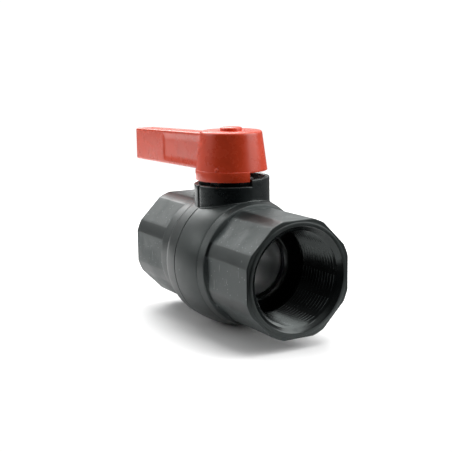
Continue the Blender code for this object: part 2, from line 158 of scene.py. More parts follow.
# Body, front half: black moulded plastic, with a crowned barrel, a ring, eight wrench flats
# and a 1 1/2 in parallel thread cut in its socket. Its faces carry the mould's fine grain.
# Inside the socket the plastic is painted darker as shade, and the thread's crests paler as highlight.
def new_group(name, inputs, outputs):
    """An empty shader group with number or vector inputs and number outputs, and its two ends."""
    tree = bpy.data.node_groups.new(name, "ShaderNodeTree")
    for label, kind, value in inputs:
        socket = tree.interface.new_socket(label, in_out="INPUT", socket_type=kind)
        if value is not None:
            socket.default_value = value
    for label in outputs:
        tree.interface.new_socket(label, in_out="OUTPUT", socket_type="NodeSocketFloat")
    return tree, tree.nodes.new("NodeGroupInput").outputs, tree.nodes.new("NodeGroupOutput")


def mould_grain():
    """Moulded surface: fine noise plus a coarser ripple as height, and slow mottling of tone."""
    tree, given, gives = new_group(
        "mould_grain",
        [("Vector", "NodeSocketVector", None), ("Scale", "NodeSocketFloat", 1400.0)],
        ["Height", "Mottle"],
    )
    wires = {"Vector": given["Vector"], "Scale": given["Scale"], "Detail": 3.0, "Roughness": 0.6}
    fine = add_node(tree, "TexNoise", wires).outputs["Fac"]
    wires = {"Vector": given["Vector"], "Scale": 190.0, "Detail": 2.0}
    ripple = add_node(tree, "TexNoise", wires).outputs["Fac"]
    wires = {"Vector": given["Vector"], "Scale": 75.0, "Detail": 5.0, "Roughness": 0.65}
    slow = add_node(tree, "TexNoise", wires).outputs["Fac"]
    height_sum = times(tree, fine, times(tree, ripple, 1.6), "ADD")
    tree.links.new(height_sum, gives.inputs["Height"])
    tree.links.new(smooth_step(tree, slow, 0.32, 0.68), gives.inputs["Mottle"])
    return tree


def pale_specks():
    """Specks: small spots at scattered cell centres, where each cell's own chance allows one."""
    tree, given, gives = new_group(
        "pale_specks",
        [
            ("Vector", "NodeSocketVector", None),
            ("Scale", "NodeSocketFloat", 700.0),
            ("Share", "NodeSocketFloat", 0.12),
        ],
        ["Mask"],
    )
    wires = {"Vector": given["Vector"], "Scale": given["Scale"]}
    cells = add_node(tree, "TexVoronoi", wires)
    spot = smooth_step(tree, cells.outputs["Distance"], 0.16, 0.30, 1.0, 0.0)
    chance = add_node(tree, "SeparateXYZ", {"Vector": cells.outputs["Color"]}).outputs["X"]
    kept = times(tree, chance, given["Share"], "LESS_THAN")
    tree.links.new(times(tree, spot, kept), gives.inputs["Mask"])
    return tree


def rub_marks():
    """Handling marks: noise drawn out along one axis, kept only above a level, broken in patches."""
    tree, given, gives = new_group(
        "rub_marks",
        [
            ("Vector", "NodeSocketVector", None),
            ("Draw", "NodeSocketVector", (900.0, 900.0, 90.0)),
            ("Level", "NodeSocketFloat", 0.68),
        ],
        ["Mask"],
    )
    drawn = add_node(tree, "VectorMath", {0: given["Vector"], 1: given["Draw"]}, operation="MULTIPLY")
    line = add_node(tree, "TexNoise", {"Vector": drawn.outputs[0], "Scale": 1.0, "Detail": 2.0})
    wires = {"Vector": given["Vector"], "Scale": 130.0, "Detail": 3.0}
    patch = smooth_step(tree, add_node(tree, "TexNoise", wires).outputs["Fac"], 0.45, 0.62)
    above = times(tree, line.outputs["Fac"], given["Level"], "SUBTRACT")
    mark = smooth_step(tree, above, 0.0, 0.06)
    tree.links.new(times(tree, mark, patch), gives.inputs["Mask"])
    return tree


GRAIN, SPECKS, RUBS = mould_grain(), pale_specks(), rub_marks()


def mix_colour(tree, wires):
    """Two colours mixed by a factor."""
    made = add_node(tree, "Mix", data_type="RGBA")
    sockets = {"Factor": made.inputs[0], "A": made.inputs[6], "B": made.inputs[7]}
    for key, value in wires.items():
        if isinstance(value, bpy.types.NodeSocket):
            tree.links.new(value, sockets[key])
        else:
            sockets[key].default_value = value
    return made.outputs[2]


def moulded(name, dark, light, pale, gloss, grain, specks, rubs, draw=(900.0, 900.0, 90.0),
            sheen=(1.0, 1.0, 1.0)):
    """Moulded plastic: two tones of one colour mottled together, pale specks and rub marks.

    gloss is the roughness from the shiniest to the dullest patches; grain is (scale, depth in mm);
    specks is (scale, share of cells); rubs is the level that a mark has to pass; sheen tints
    what the surface reflects.
    """
    made = bpy.data.materials.new(name)
    made.use_nodes = True
    tree = made.node_tree
    shader = tree.nodes["Principled BSDF"]
    place = add_node(tree, "TexCoord").outputs["Object"]
    skin = add_node(tree, "Group", node_tree=GRAIN)
    spots = add_node(tree, "Group", node_tree=SPECKS)
    marks = add_node(tree, "Group", node_tree=RUBS)
    for used in (skin, spots, marks):
        tree.links.new(place, used.inputs["Vector"])
    skin.inputs["Scale"].default_value = grain[0]
    spots.inputs["Scale"].default_value, spots.inputs["Share"].default_value = specks
    marks.inputs["Draw"].default_value = draw
    marks.inputs["Level"].default_value = rubs
    wires = {"Factor": skin.outputs["Mottle"], "A": (*dark, 1.0), "B": (*light, 1.0)}
    base = mix_colour(tree, wires)
    either = times(tree, spots.outputs["Mask"], marks.outputs["Mask"], "MAXIMUM")
    worn = mix_colour(tree, {"Factor": times(tree, either, 0.7), "A": base, "B": (*pale, 1.0)})
    tree.links.new(worn, shader.inputs["Base Color"])
    rough = smooth_step(tree, skin.outputs["Mottle"], 0.0, 1.0, *gloss)
    rough = times(tree, rough, times(tree, either, 0.15), "ADD")
    tree.links.new(rough, shader.inputs["Roughness"])
    raised = times(tree, skin.outputs["Height"], times(tree, marks.outputs["Mask"], 0.8), "SUBTRACT")
    wires = {"Height": raised, "Strength": 1.0, "Distance": grain[1] * MM}
    tree.links.new(add_node(tree, "Bump", wires).outputs["Normal"], shader.inputs["Normal"])
    shader.inputs["Specular Tint"].default_value = (*sheen, 1.0)
    return made


BODY_TURNED = moulded(
    "body_turned", (0.0068, 0.0090, 0.0090), (0.011, 0.0140, 0.0140), (0.08, 0.088, 0.088),
    gloss=(0.36, 0.44), grain=(900.0, 0.004), specks=(420.0, 0.02), rubs=0.74,
    sheen=(0.91, 1.0, 0.98),
)
BODY_FLATS = moulded(
    "body_flats", (0.019, 0.024, 0.024), (0.036, 0.043, 0.043), (0.26, 0.29, 0.29),
    gloss=(0.44, 0.56), grain=(1300.0, 0.026), specks=(900.0, 0.10), rubs=0.66,
    sheen=(0.91, 1.0, 0.98),
)
# The socket's inside: the body's black plastic painted darker, as painted shade in the bore and cavity.
BODY_SOCKET_PAINTED_SHADE = moulded(
    "body_socket_painted_shade", (0.0025, 0.0034, 0.0036), (0.0045, 0.0058, 0.006), (0.05, 0.055, 0.055),
    gloss=(0.17, 0.24), grain=(1500.0, 0.002), specks=(900.0, 0.03), rubs=0.76,
    sheen=(0.91, 1.0, 0.98),
)


# Thread crests: the body's black plastic painted paler. This painted highlight stands in for light glinting
# on the crests, so they show as bright lines from every side.
BODY_CREST_PAINTED_HIGHLIGHT = moulded(
    "body_crest_painted_highlight", (0.055, 0.064, 0.064), (0.085, 0.097, 0.097), (0.12, 0.13, 0.13),
    gloss=(0.20, 0.28), grain=(1500.0, 0.002), specks=(900.0, 0.03), rubs=0.76,
    sheen=(0.91, 1.0, 0.98),
)


def grid_piece(name, points, materials, finish=None, wrap=(True, True), turn_out=True):
    """A mesh on a grid of points (rows, columns, 3) in mm, joined row to row and column to column.

    wrap says whether the last row meets the first, and the last column the first. finish gives
    each face's material by row and column. Points that coincide are merged.
    """
    rows, columns = points.shape[:2]
    row = np.arange(rows if wrap[0] else rows - 1)
    column = np.arange(columns if wrap[1] else columns - 1)
    r, c = (part.ravel() for part in np.meshgrid(row, column, indexing="ij"))
    r2, c2 = (r + 1) % rows, (c + 1) % columns
    faces = np.stack((r * columns + c, r * columns + c2, r2 * columns + c2, r2 * columns + c), 1)
    mesh = bpy.data.meshes.new(name)
    mesh.vertices.add(rows * columns)
    mesh.vertices.foreach_set("co", (points * MM).astype(np.float32).ravel())
    mesh.loops.add(faces.size)
    mesh.loops.foreach_set("vertex_index", faces.astype(np.int32).ravel())
    mesh.polygons.add(len(faces))
    mesh.polygons.foreach_set("loop_start", np.arange(0, faces.size, 4, dtype=np.int32))
    for material in materials:
        mesh.materials.append(material)
    if finish is not None:
        mesh.polygons.foreach_set("material_index", finish[r, c].astype(np.int32))
    mesh.update(calc_edges=True)
    close_up(mesh, turn_out)
    made = bpy.data.objects.new(name, mesh)
    scene.collection.objects.link(made)
    return made


def close_up(mesh, turn_out=True, sharp=38.0):
    """Merges coinciding points, drops loose edges, caps open ends and turns the faces outwards."""
    shell = bmesh.new()
    shell.from_mesh(mesh)
    bmesh.ops.remove_doubles(shell, verts=shell.verts, dist=1e-6)
    bmesh.ops.dissolve_degenerate(shell, edges=shell.edges, dist=1e-7)
    loose = [edge for edge in shell.edges if not edge.link_faces]
    bmesh.ops.delete(shell, geom=loose, context="EDGES")
    open_edges = [edge for edge in shell.edges if edge.is_boundary]
    if open_edges:
        bmesh.ops.holes_fill(shell, edges=open_edges, sides=0)
    if turn_out:
        bmesh.ops.recalc_face_normals(shell, faces=shell.faces)
    shell.to_mesh(mesh)
    shell.free()
    mesh.shade_smooth()
    mesh.set_sharp_from_angle(angle=np.radians(sharp))


def lathe(name, profile, materials, axis="Z", count=96, half_step=False):
    """A closed profile of (along, radius) points in mm turned all round the X or the Z axis."""
    profile = np.array(profile, float)
    turned = 2.0 * np.pi * (np.arange(count) + 0.5 * half_step) / count
    along = np.repeat(profile[:, :1], count, 1)
    first, second = profile[:, 1:] * np.cos(turned), profile[:, 1:] * np.sin(turned)
    points = (along, first, second) if axis == "X" else (first, second, along)
    return grid_piece(name, np.stack(points, -1), materials)


def boolean(piece, tool, operation):
    """Cuts the tool from the piece or joins it on, then removes the tool."""
    step = piece.modifiers.new(operation.lower(), "BOOLEAN")
    step.operation = operation
    step.object = tool
    step.solver = "EXACT"
    ready = piece.evaluated_get(bpy.context.evaluated_depsgraph_get())
    mesh = bpy.data.meshes.new_from_object(ready)
    piece.modifiers.clear()
    mesh.name = piece.data.name
    piece.data = mesh
    close_up(mesh, turn_out=False)
    bpy.data.objects.remove(tool)


def round_corner(before, corner, after, radius, steps=3):
    """Points on an arc of the given radius tucked into a profile's corner."""
    before, corner, after = (np.array(p, float) for p in (before, corner, after))
    to_before = (before - corner) / np.linalg.norm(before - corner)
    to_after = (after - corner) / np.linalg.norm(after - corner)
    half = np.arccos(np.clip(to_before @ to_after, -1.0, 1.0)) / 2.0
    middle = (to_before + to_after) / np.linalg.norm(to_before + to_after)
    centre = corner + middle * radius / np.sin(half)
    start = corner + to_before * radius / np.tan(half) - centre
    end = corner + to_after * radius / np.tan(half) - centre
    share = np.linspace(0.0, 1.0, steps + 1)[:, None]
    spread = np.arccos(np.clip(start @ end / radius**2, -1.0, 1.0))
    swept = (np.sin((1.0 - share) * spread) * start + np.sin(share * spread) * end) / np.sin(spread)
    return centre + swept


def rounded(profile, radii, steps=3):
    """A closed profile with the corners that have a radius rounded."""
    points = []
    count = len(profile)
    for k, (corner, radius) in enumerate(zip(profile, radii)):
        if radius:
            before, after = profile[k - 1], profile[(k + 1) % count]
            points.extend(round_corner(before, corner, after, radius, steps))
        else:
            points.append(np.array(corner, float))
    return np.array(points)


barrel_radius, barrel_crown = 33.8, 99.0
flat_radius, corner_radius = 28.2, 29.35
thread_pitch, thread_crest, thread_root = 2.309, 22.4, 23.9
cavity_radius, seat_pocket, port_radius = 26.8, 22.3, 16.9


def crown(x):
    """Radius of the barrel's long lengthwise arc at a distance from the seam."""
    return barrel_radius - barrel_crown + np.sqrt(barrel_crown**2 - x**2)


def nut_columns():
    """Angles round the pipe: each flat in even steps, close pairs at its edges, then the corner."""
    edge = np.degrees(np.arccos(flat_radius / corner_radius))
    soft = 0.45
    flat = np.concatenate((
        [-edge - soft],
        np.linspace(-edge + soft, edge - soft, 11),
        [edge + soft],
        np.linspace(edge + soft, 45.0 - edge - soft, 5)[1:-1],
    ))
    on_flat = np.zeros(len(flat), bool)
    on_flat[1:11] = True
    angles = (np.arange(0.0, 360.0, 45.0)[:, None] + flat).ravel()
    return np.radians(angles), np.tile(on_flat, 8)


def octagon(angles, inset):
    """Radius of the turned-cornered octagon, moved in by the inset, at each angle."""
    from_flat = (angles + np.pi / 8) % (np.pi / 4) - np.pi / 8
    return np.minimum((flat_radius - inset) / np.cos(from_flat), corner_radius - inset)


def thread_radius(x, angles):
    """Whitworth form: a triangle wave with rounded tips that climbs one pitch a turn."""
    wave = np.cos(2.0 * np.pi * x / thread_pitch - angles)
    bend = 0.985
    form = 0.5 + 0.5 * np.arcsin(bend * wave) / np.arcsin(bend)
    return thread_crest + (thread_root - thread_crest) * form


def half_body(name, node, side, face, outside, flats_from):
    """One body half as a closed surface: outside, socket face, thread, seat pocket and cavity.

    outside lists (x, radius) of its round parts from the seam. Where the flats lie further out
    they take over. Rows past the face run back inside to the seam.
    """
    angles, on_flat = nut_columns()
    rows, finish = [], []
    for x, radius in outside:
        rows.append((x, np.maximum(radius, octagon(angles, 0.0) if x > flats_from else 0 * angles)))
        finish.append(np.where(on_flat, 1, 0) if x > flats_from + 0.35 else 0 * angles)
    for x in np.linspace(flats_from + 1.2, face - 1.2, 16):
        rows.append((x, octagon(angles, 0.0)))
        finish.append(np.where(on_flat, 1, 0))
    for back, inset in ((0.62, 0.0), (0.54, 0.02), (0.36, 0.20), (0.32, 0.26), (0.30, 0.34)):
        rows.append((face - back, octagon(angles, inset)))
        finish.append(0 * angles)
    rows.append((face - 0.30, 0.5 * octagon(angles, 0.34) + 0.5 * 27.3))
    turned_face = ((0.30, 27.32), (0.27, 27.24), (0.06, 27.12), (0.0, 27.02), (0.0, 26.3))
    turned_face += ((0.0, 25.66), (0.03, 25.56))
    for back, radius in turned_face:
        rows.append((face - back, 0 * angles + radius))
    finish += [0 * angles] * 8
    mouth_depth, mouth_radius = 3.1, 25.4
    lead_end = face - mouth_depth

    def lead(x):
        """The mouth's cone: its radius grows evenly from the thread's crest to the face."""
        return thread_crest + (x - lead_end) * (mouth_radius - thread_crest) / mouth_depth

    for back in (0.05, 0.18):
        rows.append((face - back, 0 * angles + lead(face - back) + 0.06))
        finish.append(0 * angles + 2)
    relief_start, relief = 29.5, 24.0
    for x in np.arange(face - 0.36, relief_start + 0.05, -thread_pitch / 12):
        plain = max(lead(x), relief - max(x - relief_start, 0.0))
        threaded = np.maximum(plain, thread_radius(x, angles))
        rows.append((x, threaded))
        # Faces near the crest get the paler crest material, a painted highlight. The rest of the socket gets
        # the darker socket material, painted shade.
        finish.append(np.where(threaded < thread_crest + 0.24, 3, 2))
    inner = [(relief_start, relief), (27.5, relief), (26.3, relief), (26.0, 23.9), (25.9, 23.6)]
    inner += [(25.9, 20.0), (25.9, 17.3), (25.8, 17.0), (25.5, port_radius)]
    inner += [(24.0, port_radius), (22.5, port_radius), (22.3, 17.1), (22.3, 20.0)]
    inner += [(22.3, seat_pocket), (18.0, seat_pocket)]
    pocket_edge = np.sqrt(cavity_radius**2 - seat_pocket**2)
    for x in np.linspace(pocket_edge, 0.15, 10):
        inner.append((x, np.sqrt(cavity_radius**2 - x**2)))
    # The inner rows, like the mouth rows, take the socket material: the body plastic painted darker as shade.
    for x, radius in inner:
        rows.append((x, 0 * angles + radius))
        finish.append(0 * angles + 2)
    x = np.array([x for x, _ in rows])[:, None] * np.ones(len(angles))
    radius = np.array([r for _, r in rows])
    points = np.stack((side * x, radius * np.sin(angles), radius * np.cos(angles)), -1)
    # Materials by index: turned, flats, socket (painted darker, as shade), crests (painted paler, as
    # highlight).
    materials = [BODY_TURNED, BODY_FLATS, BODY_SOCKET_PAINTED_SHADE, BODY_CREST_PAINTED_HIGHLIGHT]
    made = grid_piece(name, points, materials, np.array(finish))
    # The bore's walls take the socket material, painted darker as shade.
    bore = [(18.0, 0.0), (18.0, 10.8), (31.7, 10.8), (31.7, 7.8), (36.0, 7.8), (36.0, 0.0)]
    boolean(made, lathe(name + "_bore", bore, [BODY_SOCKET_PAINTED_SHADE], count=64, half_step=True), "DIFFERENCE")
    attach(made, "body")
    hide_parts(node)
    return made


def seam_edge():
    """The small rounding where the barrel meets the seam."""
    return [(0.15, crown(0.15) - 0.35), (0.18, crown(0.18) - 0.16), (0.32, crown(0.3) - 0.04)]


barrel_end, end_fall = 18.9, 0.6
barrel = np.linspace(0.6, 18.7, 22)
front_outside = seam_edge()
front_outside += [(x, crown(x) - end_fall * (x / barrel_end) ** 4) for x in barrel]
front_outside += [(18.82, 31.38), (18.9, 31.32), (19.0, 31.34), (19.12, 31.4)]
front_outside += [(x, 31.4 - (x - 19.1) * 1.0 / 4.8) for x in (19.6, 21.0, 22.5, 23.3)]
front_outside += [(23.6, 30.42), (23.8, 30.28), (23.92, 29.95), (24.02, 29.6), (24.12, 29.2)]
front_outside += [(24.25, 28.7), (24.38, 28.1), (24.5, 27.5)]
half_body("body_front_shell", "body_front", 1, 61.2, front_outside, 23.0)

# Body, rear half: the same plastic, welded to the front half at the seam. A narrow band of the
# barrel steps down to a round neck, and the flats are cut into it further back.
rear_outside = seam_edge()
rear_outside += [(x, crown(x) - 0.0592 * max(x - 8.1, 0.0) ** 2) for x in np.linspace(0.6, 11.8, 24)]
rear_outside += [(12.0, 32.1), (12.14, 31.8), (12.2, 31.3), (12.25, 30.4), (12.32, 29.8)]
rear_outside += [(12.5, 29.55), (12.8, 29.5)]
rear_outside += [(x, 29.45) for x in (10.5, 13.0, 16.0, 19.0, 22.0, 24.0)]
rear_outside += [(24.3, 29.42), (24.42, 29.3), (24.5, 28.9), (24.56, 28.4), (24.62, 27.8)]
half_body("body_rear_shell", "body_rear", -1, 56.1, rear_outside, 23.4)


# Collar: part of each body half, a cup round the stem with a boss inside. Its rim stands higher
# over a third of its round, where it stops the handle at both ends of its turn.
def collar_half(name, front):
    """Half a turned cup: each column's profile, with foot and rim heights that change by angle."""
    outer, inner, low_rim, high_rim, cup_floor = 19.3, 16.8, 38.8, 42.2, 34.5
    stop_ends = (1.55, 119.1)
    near_end = stop_ends[0] if front else stop_ends[1] - 180.0
    beside = near_end + np.array([-0.35, -0.08, 0.08, 0.35])
    even = np.concatenate((np.linspace(-86.5, 86.5, 52), [-90.0, -89.2, -88.3, 88.3, 89.2, 90.0]))
    even = even[np.abs(even - near_end) > 0.8]
    degrees = np.sort(np.concatenate((even, beside))) + (0.0 if front else 180.0)
    angles = np.radians(degrees)
    raised = (degrees > stop_ends[0]) & (degrees < stop_ends[1])
    rim = np.where(raised, high_rim, low_rim)
    across, along = np.sin(angles), np.cos(angles)

    def foot(radius):
        """Height of the body's round surface below a circle about the stem."""
        x = np.abs(radius * along)
        body = np.interp(x, [p for p, _ in front_outside], [r for _, r in front_outside])
        if not front:
            body = 0 * x + 29.3
        return np.sqrt(body**2 - (radius * across) ** 2)

    from_seam = np.abs(outer * along)
    groove = np.clip(0.75 - from_seam, 0.0, 0.6) * 1.1
    fillet = 0.5 if front else 0.0
    rows = [(outer - 0.8, foot(outer) - 2.0), (outer - groove, foot(outer) - 0.8)]
    if front:
        for turned in np.radians((0.0, 30.0, 60.0, 90.0)):
            radius = outer + fillet * (1.0 - np.sin(turned))
            rows.append((radius - groove, foot(outer) + fillet * (1.0 - np.cos(turned)) - 0.02))
    base = foot(outer) + fillet
    for share in (0.15, 0.4, 0.65, 0.85, 1.0):
        rows.append((outer - groove, base + (rim - 0.45 - base) * share))
    rows += [(outer - 0.07 - groove, rim - 0.16), (outer - 0.2 - groove, rim - 0.04)]
    rows += [(outer - 0.42 - groove, rim), (inner + 0.42, rim), (inner + 0.12, rim - 0.1)]
    rows += [(inner, rim - 0.4), (inner, cup_floor + 2.0), (inner, cup_floor + 0.5)]
    rows += [(inner - 0.15, cup_floor + 0.15), (inner - 0.5, cup_floor), (14.0, cup_floor)]
    rows += [(11.4, cup_floor), (11.1, cup_floor + 0.1), (11.0, cup_floor + 0.4), (11.0, 37.5)]
    rows += [(11.0, 40.7), (10.9, 40.92), (10.7, 41.0), (9.4, 41.0), (9.25, 40.95), (9.2, 40.8)]
    rows += [(9.2, 39.2), (7.9, 39.2), (7.8, 39.1), (7.8, 36.0), (7.8, 31.7), (10.8, 31.7)]
    rows += [(10.8, 28.0)]
    radius = np.array([r + 0 * angles for r, _ in rows])
    height = np.array([z + 0 * angles for _, z in rows])
    x = radius * along
    x = np.maximum(x, 0.15) if front else np.minimum(x, -0.15)
    points = np.stack((x, radius * across, height), -1)
    # The collar takes the body plastic painted darker, as shade.
    made = grid_piece(name, points, [BODY_COLLAR_PAINTED_SHADE], wrap=(True, False))
    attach(made, "body")
    return made


# The collar's plastic: the body's black made darker, as painted shade.
BODY_COLLAR_PAINTED_SHADE = moulded(
    "body_collar_painted_shade", (0.0045, 0.0062, 0.0068), (0.0075, 0.0098, 0.0105), (0.05, 0.055, 0.055),
    gloss=(0.24, 0.32), grain=(1000.0, 0.004), specks=(420.0, 0.02), rubs=0.76,
    sheen=(0.91, 1.0, 0.98),
)
collar_half("collar_front", True)
collar_half("collar_rear", False)

# Ball: grey plastic, turned round and bored through, with a slot across its top for the stem.
BALL_SKIN = moulded(
    "ball_skin", (0.28, 0.30, 0.30), (0.33, 0.35, 0.35), (0.42, 0.42, 0.42),
    gloss=(0.16, 0.24), grain=(700.0, 0.003), specks=(600.0, 0.03), rubs=0.72,
    draw=(90.0, 900.0, 900.0),
)
ball_radius, ball_bore = 26.0, 15.7
bore_edge = np.sqrt(ball_radius**2 - ball_bore**2)
arc_end = np.arcsin((bore_edge - 0.35) / ball_radius)
sphere = [(ball_radius * np.sin(a), ball_radius * np.cos(a)) for a in np.linspace(-arc_end, arc_end, 60)]
front_lip = [(bore_edge - 0.12, ball_bore + 0.28), (bore_edge - 0.22, ball_bore + 0.08)]
front_lip += [(bore_edge - 0.5, ball_bore)]
bore_wall = [(x, ball_bore) for x in np.linspace(bore_edge - 1.5, 1.5 - bore_edge, 12)]
rear_lip = [(-x, r) for x, r in front_lip[::-1]]
ball = lathe("ball_turned", sphere + front_lip + bore_wall + rear_lip, [BALL_SKIN], "X", 120)
slot_half, slot_bottom = 3.8, 20.0
slot_shape = np.array([(x, z) for x, z in (
    (-slot_half, slot_bottom + 0.5), (-slot_half + 0.15, slot_bottom + 0.15),
    (-slot_half + 0.5, slot_bottom), (slot_half - 0.5, slot_bottom),
    (slot_half - 0.15, slot_bottom + 0.15), (slot_half, slot_bottom + 0.5),
    (slot_half, 30.0), (-slot_half, 30.0),
)])
slot_rows = np.linspace(-28.0, 28.0, 2)
slot_points = np.stack((
    np.tile(slot_shape[:, 0], (2, 1)),
    np.repeat(slot_rows[:, None], len(slot_shape), 1),
    np.tile(slot_shape[:, 1], (2, 1)),
), -1)
slot_tool = grid_piece("slot_tool", slot_points, [BALL_SKIN], wrap=(False, True))
boolean(ball, slot_tool, "DIFFERENCE")
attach(ball, "ball")
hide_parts("ball")

# Seats: a turned ring of dark low-friction plastic on each side of the ball, sprung by an O-ring
# in a groove in its back.
SEAT_SKIN = moulded(
    "seat_skin", (0.045, 0.047, 0.047), (0.06, 0.063, 0.063), (0.2, 0.2, 0.2),
    gloss=(0.30, 0.42), grain=(800.0, 0.004), specks=(600.0, 0.03), rubs=0.72,
)


def rubber(name):
    """Black seal rubber: a matt skin with fine pores and a faint pale bloom in patches."""
    return moulded(
        name, (0.010, 0.010, 0.010), (0.020, 0.020, 0.019), (0.06, 0.06, 0.055),
        gloss=(0.48, 0.62), grain=(2200.0, 0.006), specks=(1500.0, 0.06), rubs=0.76,
    )


SEAL_RUBBER = rubber("seal_rubber_skin")
seat_clear, seat_back, seat_inner = 26.3, 22.0, 16.5
near, far = np.arccos(seat_inner / seat_clear), np.arccos(seat_back / seat_clear)
seat_face = [(seat_clear * np.sin(a), seat_clear * np.cos(a)) for a in np.linspace(near, far, 14)]
seat_rest = [(18.0, 22.0), (21.8, 22.0), (22.0, 21.8), (22.0, 20.85), (21.9, 20.75), (19.8, 20.75)]
seat_rest += [(19.8, 18.25), (21.9, 18.25), (22.0, 18.15), (22.0, 16.7), (21.8, 16.5), (21.0, 16.5)]
ring_angles = np.linspace(0.0, 2.0 * np.pi, 20, endpoint=False)
for end, side in (("front", 1.0), ("rear", -1.0)):
    profile = [(side * x, r) for x, r in seat_face + seat_rest]
    seat = lathe("seat_ring_" + end, profile, [SEAT_SKIN], "X")
    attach(seat, "body")
    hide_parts("seat_" + end)
    wire = [(side * 21.05 + 0.95 * np.sin(a), 19.5 + 0.95 * np.cos(a)) for a in ring_angles]
    seal = lathe("seat_seal_" + end, wire, [SEAL_RUBBER], "X")
    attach(seal, "body")
    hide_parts("seat_oring_" + end)


# Stem: black plastic, moulded with a tang that drives the ball, a flange that holds it in from
# below, two O-ring grooves and a square head with a hole for the insert.
def section(half_x, half_y, angles):
    """Radius of a rectangle at each angle, from its half sizes."""
    return 1.0 / np.maximum(np.abs(np.cos(angles)) / half_x, np.abs(np.sin(angles)) / half_y)


STEM_SKIN = moulded(
    "stem_skin", (0.012, 0.014, 0.014), (0.020, 0.023, 0.023), (0.10, 0.10, 0.10),
    gloss=(0.26, 0.36), grain=(1100.0, 0.005), specks=(600.0, 0.04), rubs=0.72,
)
stem_angles = np.radians(np.unique(np.round(np.concatenate((
    np.arange(0.0, 360.0, 5.0),
    [q + s * c for q in (0.0, 180.0) for s in (-1, 1) for c in (62.6, 63.435, 64.3)],
    [q + s * c for q in (45.0, 135.0, 225.0, 315.0) for s in (-1, 1) for c in (0.0, 1.2, 3.0)],
)) % 360.0, 3)))
tang = np.minimum(section(3.5, 7.0, stem_angles), 7.7)
square = np.minimum(section(5.2, 5.2, stem_angles), 7.1)
turned_rows = [(26.6, 10.2), (26.65, 10.4), (26.9, 10.5), (29.3, 10.5), (29.52, 10.42), (29.6, 10.2)]
turned_rows += [(29.6, 7.5)]
for height_mm in (33.7, 37.2):
    turned_rows += [(height_mm - 1.3, 7.5), (height_mm - 1.2, 7.4), (height_mm - 1.2, 5.4)]
    turned_rows += [(height_mm + 1.2, 5.4), (height_mm + 1.2, 7.4), (height_mm + 1.3, 7.5)]
turned_rows += [(41.1, 7.5), (41.3, 7.44), (41.4, 7.25)]
none = 0.0 * stem_angles
stem_rows = [(20.3, none), (20.3, tang - 0.4), (20.42, tang - 0.1), (20.8, tang), (24.0, tang)]
stem_rows += [(26.6, tang)] + [(z, none + r) for z, r in turned_rows]
stem_rows += [(41.4, square), (46.0, square), (52.6, square), (52.88, square - 0.12)]
stem_rows += [(53.0, square - 0.4), (53.0, none + 4.0), (52.9, none + 3.75), (52.6, none + 3.7)]
stem_rows += [(44.1, none + 3.7), (44.1, none)]
stem_height = np.array([z + none for z, _ in stem_rows])
stem_radius = np.array([r for _, r in stem_rows])
stem_points = np.stack((
    stem_radius * np.cos(stem_angles), stem_radius * np.sin(stem_angles), stem_height,
), -1)
stem = grid_piece("stem_moulded", stem_points, [STEM_SKIN])
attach(stem, "handle")
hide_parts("stem")

# Stem seals and insert: two O-rings in the stem's grooves, a thrust washer over its flange, a
# dust seal in the boss, and a brass thread insert pressed into the square head.
for place, ring_height in (("lower", 33.7), ("upper", 37.2)):
    wire = [(ring_height + 0.9 * np.sin(a), 6.6 + 0.9 * np.cos(a)) for a in ring_angles]
    seal = lathe("stem_seal_" + place, wire, [SEAL_RUBBER])
    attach(seal, "handle")
    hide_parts("stem_oring_" + place)


def flat_ring(name, low, high, inner, outer, edge, material):
    """A turned flat ring with all four edges rounded."""
    corners = [(low, inner), (low, outer), (high, outer), (high, inner)]
    return lathe(name, rounded(corners, [edge] * 4), [material])


thrust = flat_ring("thrust_washer_turned", 29.9, 31.4, 7.8, 10.5, 0.2, SEAT_SKIN)
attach(thrust, "handle")
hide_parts("stem_thrust_washer")
dust = flat_ring("dust_seal_moulded", 39.5, 41.2, 7.8, 8.9, 0.3, SEAL_RUBBER)
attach(dust, "body")
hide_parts("stem_dust_seal")


def turned_metal(name, dark, light, roughness):
    """Turned metal: fine rings left by the tool, and faint darker stains in patches."""
    made = bpy.data.materials.new(name)
    made.use_nodes = True
    tree = made.node_tree
    shader = tree.nodes["Principled BSDF"]
    place = add_node(tree, "TexCoord").outputs["Object"]
    skin = add_node(tree, "Group", node_tree=GRAIN)
    marks = add_node(tree, "Group", node_tree=RUBS)
    for used in (skin, marks):
        tree.links.new(place, used.inputs["Vector"])
    marks.inputs["Draw"].default_value = (150.0, 150.0, 5000.0)
    marks.inputs["Level"].default_value = 0.52
    wires = {"Factor": skin.outputs["Mottle"], "A": (*dark, 1.0), "B": (*light, 1.0)}
    tree.links.new(mix_colour(tree, wires), shader.inputs["Base Color"])
    rough = smooth_step(tree, marks.outputs["Mask"], 0.0, 1.0, roughness, roughness + 0.14)
    tree.links.new(rough, shader.inputs["Roughness"])
    wires = {"Height": marks.outputs["Mask"], "Strength": 1.0, "Distance": 0.004 * MM}
    tree.links.new(add_node(tree, "Bump", wires).outputs["Normal"], shader.inputs["Normal"])
    shader.inputs["Metallic"].default_value = 1.0
    return made


BRASS = turned_metal("brass_turned", (0.58, 0.36, 0.12), (0.74, 0.51, 0.22), 0.26)
STEEL = turned_metal("steel_turned", (0.44, 0.44, 0.43), (0.62, 0.62, 0.60), 0.24)
insert = [(44.7, 2.95), (44.7, 3.3), (44.8, 3.4), (46.2, 3.4), (46.4, 3.15), (46.8, 3.15)]
insert += [(47.0, 3.4), (49.0, 3.4), (49.2, 3.15), (49.6, 3.15), (49.8, 3.4), (52.6, 3.4)]
insert += [(52.7, 3.3), (52.7, 2.95), (52.55, 2.8), (44.85, 2.8)]
insert_ring = lathe("insert_turned", insert, [BRASS], count=64)
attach(insert_ring, "handle")
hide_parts("stem_insert")

